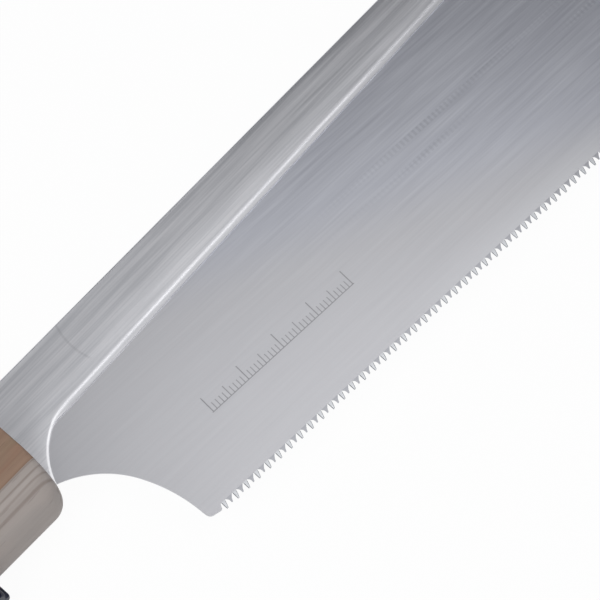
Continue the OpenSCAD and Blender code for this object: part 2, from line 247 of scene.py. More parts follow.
floor_mesh = bpy.data.meshes.new("Floor")
far = 12
floor_corners = [(-far, -far, 0), (far, -far, 0), (far, far, 0), (-far, far, 0)]
floor_mesh.from_pydata(floor_corners, [], [(0, 1, 2, 3)])
floor_mesh.materials.append(floor_paint)
floor = bpy.data.objects.new("Floor", floor_mesh)
bpy.context.scene.collection.objects.link(floor)

room = bpy.data.worlds.new("Pale tent")
room.use_nodes = True
bpy.context.scene.world = room
sky = Wire(room.node_tree, room.node_tree.nodes.new("ShaderNodeTexCoord").outputs["Generated"])
height = split(sky)[2]
tent = smooth(height, 0.06, 0.26, 1.0, 0.58) - smooth(height, 0.26, 0.75, 0.0, 0.38)
room.node_tree.links.new(tent.socket, room.node_tree.nodes["Background"].inputs["Strength"])
room.node_tree.nodes["Background"].inputs["Color"].default_value = (0.97, 0.98, 1.03, 1.0)
print("floor at height 0, room brightness 1 at the horizon and 0.2 overhead")

# %% Soft boxes
def soft_box(name, centre, aim, across, size, brightness):
    """A rectangular lamp at a point, facing another, with the brightness that its face shows."""
    lamp = bpy.data.lights.new(name, "AREA")
    lamp.shape = "RECTANGLE"
    lamp.size, lamp.size_y = size
    lamp.energy = brightness * math.pi * size[0] * size[1]
    back = (centre - aim) / np.linalg.norm(centre - aim)
    side = across - back * (across @ back)
    side = side / np.linalg.norm(side)
    pose = np.eye(4)
    pose[:3, 0], pose[:3, 1], pose[:3, 2] = side, np.cross(back, side), back
    pose[:3, 3] = centre * MM
    box = bpy.data.objects.new(name, lamp)
    box.matrix_world = Matrix(pose.tolist())
    box.visible_camera = False
    bpy.context.scene.collection.objects.link(box)


along_x = np.array([1.0, 0.0, 0.0])
plate_at, plate_across = np.array([229.0, -19.3, 610.0]), np.array([0.911, -0.413, 0.0])
soft_box("Plate_box", plate_at, plate_at - straight_up, plate_across, (0.348, 0.428), 0.963)
lip_at = np.array([340.0, -178.0, 580.0])
soft_box("Lip_box", lip_at, lip_at - straight_up, along_x, (0.5, 0.10), 1.3)
side_at, side_across = np.array([367.0, -618.0, 600.0]), np.array([0.90, -0.44, 0.0])
nose_top = np.array([40.0, -10.0, 10.0])
soft_box("Side_box", side_at, nose_top, side_across, (0.6, 0.5), 0.6)
wood_at = np.array([-440.0, -60.0, 640.0])
soft_box("Wood_box", wood_at, wood_at - straight_up, along_x, (0.45, 0.6), 3.6)
print("four soft boxes")

# %% [markdown]
# ## From grids of points to pieces
# Every new piece is a grid of points worked out with numpy and joined into quads. The helper that
# makes the object welds the seams, turns the faces outwards and keeps true edges sharp.

# %% Grid and piece helpers
def quads(rows, cols, wrap=False):
    """Quads of a grid of points numbered row by row; wrap joins the last column to the first."""
    r, c = np.meshgrid(np.arange(rows - 1), np.arange(cols if wrap else cols - 1), indexing="ij")
    here, below, after = r * cols, (r + 1) * cols, (c + 1) % cols
    return np.stack([here + c, here + after, below + after, below + c], -1).reshape(-1, 4)


def weld(patches):
    """Join patches of points and faces into one list of points and one of faces."""
    points, faces, start = [], [], 0
    for spots, sets in patches:
        spots = np.asarray(spots, float).reshape(-1, 3)
        points.append(spots)
        faces += [face for chunk in sets for face in (np.asarray(chunk) + start).tolist()]
        start += len(spots)
    return np.concatenate(points), faces


def solid(name, patches, marks=None):
    """An object from patches in millimetres, with its seams welded and its faces outwards.

    Marks are one number for each point, kept on the mesh for the finish to read: on the plate and
    the back they place painted shade and a painted highlight.
    """
    points, faces = weld(patches)
    mesh = bpy.data.meshes.new(name)
    mesh.from_pydata((points * MM).tolist(), [], faces)
    if marks is not None:
        kept = np.zeros(len(points), np.float32)
        kept[: marks.size] = marks.ravel()
        mesh.attributes.new("marks", "FLOAT", "POINT").data.foreach_set("value", kept)
    work = bmesh.new()
    work.from_mesh(mesh)
    bmesh.ops.remove_doubles(work, verts=work.verts, dist=1e-6)
    bmesh.ops.recalc_face_normals(work, faces=work.faces)
    work.to_mesh(mesh)
    work.free()
    made = bpy.data.objects.new(name, mesh)
    bpy.context.scene.collection.objects.link(made)
    return made


def carve(piece, cutters):
    """Cut other solids out of a piece, one after another, and keep only the result."""
    for cutter in cutters:
        cut = piece.modifiers.new("cut", "BOOLEAN")
        cut.operation, cut.solver, cut.object = "DIFFERENCE", "EXACT", cutter
        depsgraph = bpy.context.evaluated_depsgraph_get()
        result = bpy.data.meshes.new_from_object(piece.evaluated_get(depsgraph))
        piece.modifiers.clear()
        worn, piece.data = piece.data, result
        bpy.data.meshes.remove(worn)
        spent = cutter.data
        bpy.data.objects.remove(cutter)
        bpy.data.meshes.remove(spent)


def dress(piece, body, node, finish, sharp=32.0):
    """Give a piece its finish and shading, and let it stand for a node of the frame."""
    piece.data.materials.clear()
    piece.data.materials.append(finish)
    piece.data.shade_smooth()
    piece.data.set_sharp_from_angle(angle=math.radians(sharp))
    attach(piece, body)
    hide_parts(node)
    print(piece.name, "points", len(piece.data.vertices), "faces", len(piece.data.polygons))


print("helpers ready: quads, weld, solid, carve, dress")

# %% [markdown]
# ## The blade's own measures
# Two rulers serve the blade: u runs ahead from the handle's nose, and d runs down from the spine.
# The lip of the back is straight, drops in a tight bend and then a wide one, and the heel of the
# plate is two arcs. The same numbers made the frame, apart from the lower arc of the heel and the
# teeth, which were fitted to the picture later: the arc is a little tighter, the teeth are shorter.

# %% Curves of the blade
nose_x, spine_y, mid_z = 31.3, 12.1, 10.0
back_half, plate_half = 0.76, 0.15
back_depth, back_inset, lip_taper, lip_overlap = 14.4, 0.8, math.radians(1.8), 3.0
front_r, front_end, rear_r, bend_end = 6.5, math.radians(28.7), 17.1, math.radians(71.5)
bend_len = front_r * (math.sin(front_end) - math.sin(lip_taper))
bend_len = bend_len + rear_r * (math.sin(bend_end) - math.sin(front_end))
front_centre = np.array(
    [bend_len + front_r * math.sin(lip_taper), back_depth + front_r * math.cos(lip_taper)]
)
plate_end_in, plate_end_r, plate_end_depth = 23.8, 15.4, 6.2
first_gullet, heel_depth = 19.3, 51.3
flare, pitch, teeth = math.radians(3.94), 1.5, 120
heel_land, corner_drop, toe_land, toe_r = 3.4, 0.6, 2.0, 12.0
heel_frame_r, heel_low_r, heel_high_r, heel_turn = 39.0, 35.7, 22.7, math.radians(24.5)


def lip_dir(angle):
    """Direction from the centre of a lip arc to the lip, where the lip slopes by an angle."""
    return np.stack([-np.sin(angle), -np.cos(angle)], -1)


rear_centre = front_centre + (front_r - rear_r) * lip_dir(front_end)
neck_depth = rear_centre[1] - rear_r * math.cos(bend_end)


def heel_dir(angle):
    """Direction from the centre of a heel arc to the heel."""
    return np.stack([np.cos(angle), -np.sin(angle)], -1)


def tooth_point(along, out):
    """Point at a distance along the tooth line from the first gullet, and outwards from it."""
    along, out = np.broadcast_arrays(np.asarray(along, float), np.asarray(out, float))
    return np.stack(
        [
            first_gullet + along * math.cos(flare) - out * math.sin(flare),
            heel_depth + along * math.sin(flare) + out * math.cos(flare),
        ],
        -1,
    )


def on_blade(ud, z):
    """Points of the saw's frame from u, d and a height above the middle of the plate."""
    z = np.broadcast_to(np.asarray(z, float), ud.shape[:-1])
    return np.stack([nose_x + ud[..., 0], spine_y - ud[..., 1], mid_z + z], -1)


toe = tooth_point(teeth * pitch + toe_land, 0.0)
heel_corner = tooth_point(-heel_land, corner_drop)
heel_middle = heel_corner - np.array([heel_frame_r, 0.0]) + heel_frame_r * heel_dir(heel_turn)
heel_low = heel_middle - heel_low_r * heel_dir(heel_turn)
heel_high = heel_middle - heel_high_r * heel_dir(heel_turn)
heel_last = math.acos(-heel_high[0] / heel_high_r)
print("toe at", np.round(toe, 2), "lip meets the nose at depth", round(float(neck_depth), 2))

# %% [markdown]
# ## Finish of the saw plate
# The plate is rolled and ground along the tooth line, so its grain runs that way and not along the
# spine. Towards the spine and the toe a bluish reflection of the room is painted into its colour.
# The rolls leave two faint rows of small marks, and an etched scale of plain ticks serves as a
# ruler. The filed teeth are bare bright metal.

# %% Ground plate steel
plate_steel, shader, place = start_finish("Ground plate steel", Metallic=1.0)
slope = -flare
fine = grain(place, (90.0, 2400.0, 90.0), slope, detail=0.0)
broad = grain(place, (40.0, 1000.0, 40.0), slope, detail=1.0, shift=0.31)
cloud = grain(place, (26.0, 60.0, 26.0), slope, detail=2.0, shift=0.77)

tooth_line = place.node(
    "ShaderNodeMapping",
    {"vector_type": "TEXTURE"},
    {
        "Vector": place,
        "Location": ((nose_x + first_gullet) * MM, (spine_y - heel_depth) * MM, 0.0),
        "Rotation": (0.0, 0.0, slope),
    },
)
along, inwards, _ = split(tooth_line)


def tick_row(along, inwards, low, high, spacing, width):
    """Mask of marks across a row, at a spacing, between two distances from the tooth line."""
    beat = along / spacing
    near = abs(beat - beat.maths("ROUND", beat))
    mark = smooth(near, width / spacing * 0.35, width / spacing * 0.65, 1.0, 0.0)
    return mark * (inwards > low) * (inwards < high)


scale_from, scale_end, scale_ease, rule_at = 0.0125, 0.0403, 0.0003, 0.0150
scale_along = along - scale_from
in_scale = (scale_along > -scale_ease) * (scale_along < scale_end)
tick_top, five_top, ten_top = 0.0168, 0.0178, 0.0190
ticks = tick_row(scale_along, inwards, rule_at, tick_top, 0.001, 0.00018)
fives = tick_row(scale_along, inwards, rule_at, five_top, 0.005, 0.00020)
tens = tick_row(scale_along, inwards, rule_at, ten_top, 0.010, 0.00022)
rule = smooth(abs(inwards - rule_at), 0.00006, 0.00012, 1.0, 0.0)
etched = ticks
for row in (fives, tens, rule):
    etched = etched.maths("MAXIMUM", etched, row)
etched = etched * in_scale

roll_gap, roll_width = 0.0012, 0.0006
upper_row, lower_row = (0.0298, 0.0312), (0.0247, 0.0261)
rolls = tick_row(along, inwards, *upper_row, roll_gap, roll_width)
rolls = rolls + tick_row(along, inwards, *lower_row, roll_gap, roll_width)
rolls = rolls * smooth(along, 0.045, 0.095) * smooth(cloud, 0.35, 0.65)
tooth_slant = 0.16
filed = smooth(inwards, -0.00012, 0.0001, 1.0, 0.0) * (along > 0.0)
# Mask of the broad teeth, which the finish paints darker as painted shade
pair = (along - inwards * tooth_slant - pitch / 2 * MM) / (2 * pitch * MM)
broad_tooth_painted_shade = smooth(abs(pair - pair.maths("ROUND", pair)), 0.12, 0.17)

tone = fine * 0.3 + broad * 0.5 + cloud * 0.2
x, y, _ = split(place)
towards_toe = x + y * 2.0
tone = 0.5 + (tone - 0.5) * smooth(towards_toe, 0.04, 0.14, 0.5, 2.4)
plain_steel_colour = tint(tone, linear(185, 185, 189), linear(212, 212, 215))
# Painted reflection: towards the spine and the toe the steel's colour turns bluish, as the room
# mirrored there
steel_with_painted_blue_reflection = tint(tone, linear(183, 185, 194), linear(210, 212, 219))
steel = tint(smooth(towards_toe, 0.06, 0.095), plain_steel_colour, steel_with_painted_blue_reflection)
rubbed = smooth(inwards, 0.0, 0.007, 1.0, 0.0) * smooth(along, 0.04, 0.11)
steel = tint(rubbed * 0.45, steel, linear(224, 225, 228))
steel = tint(rolls * 0.2, steel, linear(116, 120, 132))
steel = tint(etched * 0.5, steel, linear(112, 112, 114))
steel = tint(filed, steel, linear(212, 214, 217))
# Painted shade: the broad teeth, set the other way from the slim ones, are painted darker
steel = tint(filed * broad_tooth_painted_shade, steel, linear(179, 180, 185))
# Painted shade: the bevels of the slim teeth darken towards their edges, from the marks on the
# points
steel = tint(smooth(painted_light_on(place), 0.2, 0.6), steel, linear(125, 127, 134))
# Just above 0.274, the roughness below which a surface gives the denoiser no guide
least_dull = 0.275
dull = least_dull + broad * 0.01 + cloud * 0.01 + etched * 0.12
feed(shader, Base_Color=steel, Roughness=dull, Normal=relief(broad, 0.0000005))
print("plate steel: grain along the tooth line, roll marks, etched ticks")

# %% [markdown]
# ## The saw plate and its teeth
# A plate could be a flat outline with a thickness, but the teeth of a pull saw are more: every
# second one is filed to a slim lance with a bevel on both edges and leans away from us, and the
# others keep a broad foot and bend towards us at the tip. So the plate is a ruled grid between its
# hidden upper edge and its tooth line, and each tooth is three rings of six points.

# %% Saw plate
def lip_depth(u):
    """Depth of the lip at a distance ahead of the nose: straight, tight arc, then wide arc."""
    straight = back_depth - (u - bend_len) * math.tan(lip_taper)
    front = front_centre[1] - np.sqrt(np.maximum(front_r**2 - (u - front_centre[0]) ** 2, 0.0))
    rear = rear_centre[1] - np.sqrt(np.maximum(rear_r**2 - (u - rear_centre[0]) ** 2, 0.0))
    front_u = front_centre[0] - front_r * math.sin(front_end)
    return np.where(u >= bend_len, straight, np.where(u >= front_u, front, rear))


def bent(start, corner, end, steps):
    """Points of a corner rounded off: a parabola from start to end that the corner pulls."""
    t = np.linspace(0, 1, steps)[:, None]
    return (1 - t) ** 2 * start + 2 * t * (1 - t) * corner + t**2 * end


def plate_edge():
    """Lower edge of the plate from the nose to the toe: heel arcs, land, gullet pairs, toe."""
    last_turn, arc_steps = math.radians(0.2), 25
    high = heel_high + heel_high_r * heel_dir(np.linspace(heel_last, heel_turn, arc_steps))
    low = heel_low + heel_low_r * heel_dir(np.linspace(heel_turn, last_turn, arc_steps))[1:]
    land_along = [-3.7, -2.7, -1.05, -0.60, -0.46, -0.12]
    land_out = [0.6, 0.82, 1.14, 1.24, 0.90, 0.25]
    land = tooth_point(land_along, land_out)
    turn = bent(low[-1], land[0], land[1], 7)[1:]
    flank = bent(land[2], land[3], land[4], 6)
    k = np.arange(teeth + 1)
    pairing, first_at, half_gullet = 0.2, 0.1, 0.07
    middle = k * pitch + np.where(k % 2 == 0, pairing, -pairing)
    middle[0] = first_at
    gullets = tooth_point(np.stack([middle - half_gullet, middle + half_gullet], -1).ravel(), 0.0)
    before = np.concatenate([high, low, turn, flank, land[5:]])
    return np.concatenate([before, gullets, toe[None]]), len(before)


edge, first = plate_edge()
u = edge[:, 0]
past = np.clip(u - (toe[0] - toe_r), 0.0, toe_r)
end_margin, least_u = 0.6, 0.4
under_lip = lip_depth(np.maximum(u, least_u)) - lip_overlap
upper = np.where(u < plate_end_in + end_margin, under_lip, back_half)
upper = np.maximum(upper, back_half + toe_r - np.sqrt(toe_r**2 - past**2))
top_edge = np.stack([u, upper], -1)
print("points along the plate's edge:", len(edge))

# %% Teeth
ring_size, levels, bevel_fall = 6, 3, 0.2


def tooth_rings(start):
    """Rings of six points round every tooth, on three levels out from the gullets.

    A ring goes from the upper face over the right edge to the lower face and back over the left
    edge. The slim teeth are narrower on the upper face, the broad ones on the lower face, and the
    step from the narrow face to the edge is the filed bevel.
    """
    i = np.arange(teeth)
    slim = (i % 2 == 0)[:, None]
    left = start + 2 * i
    base = (edge[left + 1] + edge[left + 2]) / 2
    centre = (base[:, :1] - first_gullet) * math.cos(flare)
    centre = centre + (base[:, 1:] - heel_depth) * math.sin(flare)
    out = np.where(slim, [0.35, 1.00, 1.70], [0.42, 0.80, 1.41])
    wide = np.where(slim, [0.46, 0.34, 0.17], [0.50, 0.29, 0.14])
    narrow = np.where(slim, [0.33, 0.21, 0.04], [0.34, 0.16, 0.06])
    lean = np.where(slim, [0.05, 0.15, 0.26], [0.02, 0.12, 0.26])
    lift = np.where(slim, [0.0, -0.03, -0.07], [0.0, 0.0, 0.02])
    thin = np.broadcast_to([0.15, 0.14, 0.11], lift.shape)
    step = np.where(slim, 1.0, -1.0) * (thin - bevel_fall * (wide - narrow))
    middle = centre - lean
    over, under = np.where(slim, narrow, wide), np.where(slim, wide, narrow)
    across = np.stack([-over, over, wide, under, -under, -wide], -1)
    high, low, side = lift + thin, lift - thin, lift + step
    up = np.stack([high, high, side, low, low, side], -1)
    return on_blade(tooth_point(middle[..., None] + across, out[..., None]), up), left + 1


n = len(edge)
rings, left = tooth_rings(first)
sheet = np.concatenate(
    [
        on_blade(top_edge, plate_half),
        on_blade(edge, plate_half),
        on_blade(edge, -plate_half),
        on_blade(top_edge, -plate_half),
    ]
)
j = np.arange(n - 1)
gaps = np.setdiff1d(j, left)
faces = [
    np.stack([j, j + 1, n + j + 1, n + j], -1),
    np.stack([2 * n + j, 2 * n + j + 1, 3 * n + j + 1, 3 * n + j], -1),
    np.stack([3 * n + j, 3 * n + j + 1, j + 1, j], -1),
    np.stack([n + gaps, n + gaps + 1, 2 * n + gaps + 1, 2 * n + gaps], -1),
    np.array([[0, n, 2 * n, 3 * n], [n - 1, 2 * n - 1, 3 * n - 1, 4 * n - 1]]),
]
foot = np.stack([n + left, n + left + 1, 2 * n + left + 1, 2 * n + left], -1).T
low_ring = (4 * n + np.arange(teeth)[:, None] * ring_size * levels + np.arange(ring_size)).T
ul, ur, right, lr, ll, off = low_ring
faces += [np.stack(corners, -1) for corners in (
    (foot[0], foot[1], ur, ul), (foot[1], right, ur), (foot[1], foot[2], lr, right),
    (foot[2], foot[3], ll, lr), (foot[3], foot[0], off, ll), (foot[0], ul, off),
)]
for lower in (low_ring, low_ring + ring_size):
    after = np.roll(lower, -1, axis=0)
    faces += list(np.stack([lower, after, after + ring_size, lower + ring_size], -1))
faces.append((low_ring + 2 * ring_size).T)
# Marks on the edge points of the slim teeth, where the finish paints the bevels dark as painted
# shade
edges = (np.arange(teeth) % 2 == 0)[:, None] * np.tile([0.0, 0, 1, 0, 0, 1], levels)
marks = np.concatenate([np.zeros(len(sheet)), edges.ravel()])
spots = np.concatenate([sheet, rings.reshape(-1, 3)])
plate = solid("Saw_plate_with_teeth", [(spots, faces)], marks)
dress(plate, "blade", "saw_plate", plate_steel, sharp=8.0)

# %% [markdown]
# ## Finish of the folded back
# The back is brushed along the spine. Where the plate ends inside it, the press has left a faint
# curved line across the sheet.

# %% Brushed back steel
back_steel, shader, place = start_finish("Brushed back steel", Metallic=1.0)
fine = smooth(grain(place, (80.0, 2600.0, 900.0), detail=0.0, shift=0.13), 0.3, 0.7)
streak = smooth(grain(place, (36.0, 1200.0, 600.0), detail=1.0, shift=0.57), 0.3, 0.7)
broad = smooth(grain(place, (14.0, 500.0, 200.0), detail=1.0, shift=0.91), 0.3, 0.7)
x, y, _ = split(place)
across_x = x - (nose_x + plate_end_in + plate_end_r) * MM
across_y = y - (spine_y - plate_end_depth) * MM
squared = across_x * across_x + across_y * across_y
from_end = abs(squared.maths("SQRT", squared) - plate_end_r * MM)
pressed = smooth(from_end, 0.00008, 0.0004, 1.0, 0.0) * (across_x < 0.0)
pressed = pressed * smooth(y, 0.0008, 0.0024)
tone = fine * 0.3 + streak * 0.4 + broad * 0.3
steel = tint(tone, linear(199, 200, 204), linear(231, 231, 234))
steel = tint(pressed * 0.16, steel, linear(116, 117, 120))
# Painted highlight: the bare rim in the bend is painted near white, from the marks on its points
steel = tint(painted_light_on(place), steel, linear(248, 248, 250))
dull = 0.28 + streak * 0.06
worked = streak * 0.6 - pressed * 0.6
feed(shader, Base_Color=steel, Roughness=dull, Normal=relief(worked, 0.000001))
print("back steel: brushed along the spine, one pressed line")

# %% [markdown]
# ## The folded back, its neck and the tang
# A sheet folded over the plate has a round spine, two slightly crowned faces and a rolled lip with
# a narrow foot on the plate. The section is carried along the lip: the roll is known by its slope,
# which is summed up into heights, a ruled face climbs to the spine, and a half circle goes over the
# fold. In the bend the foot runs out, and a bright highlight is painted on the bare rim there. The
# other side is the mirror of the first.

# %% Path of the lip
def lip_path():
    """Points on the lip from the toe to the neck, and at each the direction into the sheet."""
    end_u = toe[0] - back_inset
    centre = np.array([end_u - toe_r, toe_r])
    k = math.tan(lip_taper)
    q = back_depth - (centre[0] - bend_len) * k - centre[1]
    reach = (q * k + math.sqrt(q * q * k * k - (1 + k * k) * (q * q - toe_r**2))) / (1 + k * k)
    last_u = centre[0] + reach
    toe_run, gather, rest_from = 14.0, 1.6, 17.0
    toe_steps, rest_steps, front_steps, rear_steps = 25, 60, 22, 36
    near_toe = last_u - toe_run * np.linspace(0, 1, toe_steps) ** gather
    ahead = np.concatenate([near_toe, np.linspace(last_u - rest_from, bend_len + 1, rest_steps)])
    straight = np.stack([ahead, back_depth - (ahead - bend_len) * k], -1)
    front = np.linspace(lip_taper, front_end, front_steps)
    rear = np.linspace(front_end, bend_end, rear_steps)[1:-2]
    lip = np.concatenate(
        [straight, front_centre + front_r * lip_dir(front), rear_centre + rear_r * lip_dir(rear)]
    )
    inwards = lip_dir(np.concatenate([np.full(len(ahead), lip_taper), front, rear]))
    first, second = lip_dir(bend_end), np.array([0.0, -1.0])
    mitre = (first + second) / (1 + first @ second)
    neck_u = np.array([0.0, -1.5, -4.0])
    lip = np.concatenate([lip, np.stack([neck_u, np.full(3, neck_depth)], -1)])
    inwards = np.concatenate([inwards, [mitre, second, second]])
    return lip, inwards, centre


lip, inwards, toe_centre = lip_path()
print("stations along the lip:", len(lip))

# %% Section of the fold
cut_foot = 0.17
roll_at = [0.0, 0.12, 0.3, 0.42, 0.6, 0.79, 0.94, 1.04, 1.16, 1.26, 1.38, 1.52, 1.7, 1.92, 2.3]
roll_slope = [0.5, 1.2, 2.4, 3, 2.2, 3.2, 7.5, 13, 16.5, 14.5, 9.5, 4.5, 2, 1, 0.6]
bend_at = [0.0, 0.08, 0.2, 0.3, 0.42, 0.55, 0.8, 1.2]
bend_slope = [6, 9, 11, 9.5, 5, 2, 1.2, 1]


def rolled(w, at, slope):
    """Distances in from the lip's edge and heights there, from slopes in degrees at a few places.

    The height is the running sum of the slope's tangent and ends level with the face. At its start
    the cut edge of the sheet drops straight down to the plate.
    """
    steep = np.tan(np.radians(np.interp(w, at, slope)))
    rise = np.concatenate([[0.0], np.cumsum((steep[1:] + steep[:-1]) / 2 * np.diff(w))])
    return np.append(0.0, w), np.append(cut_foot, back_half - rise[-1] + rise)


steps = np.linspace(0, 2.3, 40)
with_foot = rolled(steps, roll_at, roll_slope)
steps = np.interp(steps, [0.0, 0.79, 0.94, 1.38, 2.3], [0.0, 0.03, 0.08, 0.42, 1.2])
plain = rolled(steps, bend_at, bend_slope)
print("roll of the lip rises by", np.round(np.ptp(with_foot[1][1:]), 3), "mm")

# %% Grid of the folded sheet
fold_in, edge_in, foot_in, thin_end = 0.4, 0.1, 0.32, 3.2
foot_back, foot_run = 2.5, 4.5
crown_height, crown_from, crown_run = 0.05, 1.0, 8.0
droop_depth, droop_from, droop_run = 0.045, 30.0, 90.0
painted_highlight_width, painted_highlight_fade = 0.5, 0.12
spine_shares = [0.85, 0.89, 0.92, 0.945, 0.965, 0.98, 0.99, 0.997]


def fold_rows(lip, inwards, centre):
    """Grid of the upper side of the folded sheet: lip roll, face, and half of the fold.

    Face: straight from the roll to the fold, crowned by 6.75 s(1 - s)^2 along its share s and
    drooping by s^12 towards the fold. Fold: in from the spine by b(1 - cos p), up by a sin p.
    """
    past = np.clip(lip[:, 0] - centre[0], 0.0, toe_r)
    drop = np.sqrt(toe_r**2 - past**2)
    foot = np.clip((lip[:, 0] - bend_len + foot_back) / foot_run, 0.0, 1.0)
    w = plain[0][:, None] + (with_foot[0] - plain[0])[:, None] * foot
    z = plain[1][:, None] + (with_foot[1] - plain[1])[:, None] * foot
    spine = np.stack([lip[:, 0] + inwards[:, 0] * w[-1], centre[1] - drop], -1)
    spine[past > 0, 0] = lip[past > 0, 0]
    down = np.stack([-past / toe_r, drop / toe_r], -1)
    fit = np.clip((lip[:, 1] - spine[:, 1]) / thin_end, 0.0, 1.0)
    crown = crown_height * np.clip((lip[:, 0] - crown_from) / crown_run, 0.0, 1.0) * fit
    roll = lip + inwards * (fit * (w - edge_in - foot_in * foot))[..., None]
    share = np.append(np.linspace(0, 0.8, 9)[1:], spine_shares)[:, None]
    top = spine + down * fit[:, None] * fold_in
    face = roll[-1] + (top - roll[-1]) * share[..., None]
    droop = droop_depth * fit * np.clip((lip[:, 0] - droop_from) / droop_run, 0.0, 1.0)
    turn = np.linspace(math.pi / 2, 0, 9)[:, None]
    fold = spine + down * (fit * fold_in * (1 - np.cos(turn)))[..., None]
    rows = np.concatenate([roll, face, fold])
    face_up = back_half + crown * 6.75 * share * (1 - share) ** 2 - droop * share**12
    lifts = np.concatenate([z, face_up, (back_half - droop) * np.sin(turn)])
    marks = np.zeros(lifts.shape)
    # Marks for the painted highlight on the bare rim in the bend, where the foot runs out
    rim = np.clip((painted_highlight_width - plain[0]) / painted_highlight_fade, 0.0, 1.0)
    marks[: len(w)] = (1 - foot) * rim[:, None]
    return rows, lifts, marks


rows, lifts, marks = fold_rows(lip, inwards, toe_centre)
upper_side = on_blade(rows, lifts)
lower_side = on_blade(rows, -lifts)[::-1]
around = np.concatenate([upper_side, lower_side]).transpose(1, 0, 2)
marks = np.concatenate([marks, marks[::-1]]).T
count, ring = around.shape[:2]
half = np.arange(ring // 2 - 1)
cap = np.stack([half, half + 1, ring - 2 - half, ring - 1 - half], -1) + (count - 1) * ring
jacket = (around, [quads(count, ring, wrap=True), cap])
print("grid of the folded sheet:", count, "by", ring)

# %% Tang
tang_from, tang_end, tang_cut, tang_half = -3.6, -56.0, 2.0, 6.27
wall_low, wall_high = 0.16, 0.74


def tang_wall(low, high):
    """One wall of the tang: a bar with two cut corners between two heights."""
    top, bottom, cut_u = spine_y - tang_half, spine_y + tang_half, tang_end + tang_cut
    outline = np.array(
        [
            [tang_from, top],
            [cut_u, top],
            [tang_end, top + tang_cut],
            [tang_end, bottom - tang_cut],
            [cut_u, bottom],
            [tang_from, bottom],
        ]
    )
    ends = np.concatenate([on_blade(outline, low), on_blade(outline, high)])
    count = len(outline)
    k, after = np.arange(count), (np.arange(count) + 1) % count
    sides = np.stack([k, after, after + count, k + count], -1)
    return ends, [sides, k[None], k[None] + count]


walls = [tang_wall(wall_low, wall_high), tang_wall(-wall_high, -wall_low)]
back = solid("Folded_back_and_tang", [jacket, *walls], marks)
dress(back, "blade", "blade_back", back_steel, sharp=40.0)

# %% [markdown]
# ## Finishes of the handle's wood
# The handle is glued up from three layers: a brown core with fine pores between two paler cheeks
# with darker growth lines. All grain runs along the handle.

# %% Woods
def wood(name, pale, dark, line_gap, line_share, warm, cool, pore):
    """Wood with thin growth lines along X, warm and cool blotches, fine fibres and pores."""
    finish, shader, place = start_finish(name, Specular_IOR_Level=0.32)
    rings = grain(place, (5.0, 1.0 / line_gap, 0.25 / line_gap), detail=1.0, twist=0.1, shift=0.21)
    lines = smooth(abs(rings - 0.5), 0.005, 0.07, 1.0, 0.0)
    tone = grain(place, (9.0, 1.3 / line_gap, 1.3 / line_gap), detail=2.0, shift=0.37)
    tone = smooth(tone, 0.3, 0.7)
    fibre = grain(place, (90.0, 4200.0, 4200.0), detail=2.0, shift=0.4)
    reddish = smooth(grain(place, (40.0, 170.0, 170.0), shift=0.9), 0.45, 0.7)
    olive = smooth(grain(place, (50.0, 190.0, 190.0), shift=1.7), 0.45, 0.7)
    pores = smooth(grain(place, (160.0, 2600.0, 2600.0), detail=1.0, shift=0.63), 0.66, 0.74)
    colour = tint(lines * line_share + tone * (1 - line_share), pale, dark)
    colour = tint(reddish * 0.6, colour, warm)
    colour = tint(olive * 0.6, colour, cool)
    colour = tint(fibre * 0.18, colour, pore)
    colour = tint(pores * 0.28, colour, pore)
    dull = 0.46 + fibre * 0.10 + lines * 0.06
    surface = fibre * 0.5 - pores * 0.8 - lines * 0.3
    feed(shader, Base_Color=colour, Roughness=dull, Normal=relief(surface, 0.00003))
    return finish


core_wood = wood(
    "Brown core wood", linear(162, 134, 114), linear(140, 113, 94), 0.0035, 0.3,
    linear(168, 120, 98), linear(142, 126, 102), linear(94, 78, 66),
)
cheek_wood = wood(
    "Pale cheek wood", linear(183, 174, 168), linear(150, 139, 132), 0.0030, 0.7,
    linear(172, 162, 156), linear(168, 162, 157), linear(130, 120, 114),
)
print("two woods")

# %% [markdown]
# ## The handle
# The section is a flat-sided bar with half-round edges. It is drawn in a little at the waist, and
# both ends are rounded over. The three layers share this outside and are parted at the glue lines.
# The slot, the screw hole and the hanging hole could be left out, but the blade slides out, so
# they are cut for real.

# %% Outside of the handle
tail_x, half_h, half_t = -183.7, 16.5, 10.0
corner_r, edge_r, glue_y, waist_in = 4.5, 0.6, 7.2, 1.0
core_cols, cheek_cols, round_steps, long_steps = 17, 22, 17, 63


def end_round(x, r):
    """How far a round of radius r draws the outside in at a place near either end."""
    past = np.maximum(np.maximum(x - (nose_x - r), (tail_x + r) - x), 0.0)
    return r - np.sqrt(np.maximum(r * r - past**2, 0.0))


turn = np.sin(np.linspace(0, math.pi / 2, round_steps))
stations = np.concatenate(
    [
        tail_x + corner_r * (1 - turn[::-1]),
        np.linspace(tail_x + corner_r, nose_x - corner_r, long_steps)[1:-1],
        nose_x - corner_r * (1 - turn),
    ]
)
from_middle = (2 * stations - nose_x - tail_x) / (nose_x - tail_x - 2 * corner_r)
waist = waist_in * np.maximum(1 - from_middle**2, 0.0)
tall = half_h - waist - end_round(stations, corner_r)
thick = half_t - end_round(stations, edge_r)
flat = tall - thick
print("stations along the handle:", len(stations))


# %% Layers of the handle
def bar(y, z):
    """A solid along X from half sections: y and z at each station, mirrored to the underside."""
    x = np.broadcast_to(stations[:, None], y.shape)
    upper = np.stack([x, y, mid_z + z], -1)
    lower = np.stack([x, y, mid_z - z], -1)[:, ::-1]
    ring = np.concatenate([upper, lower], 1)
    rows, cols = ring.shape[:2]
    k = np.arange(cols // 2 - 1)
    cap = np.stack([k, k + 1, cols - 2 - k, cols - 1 - k], -1)
    return ring, [quads(rows, cols, wrap=True), cap, cap + (rows - 1) * cols]


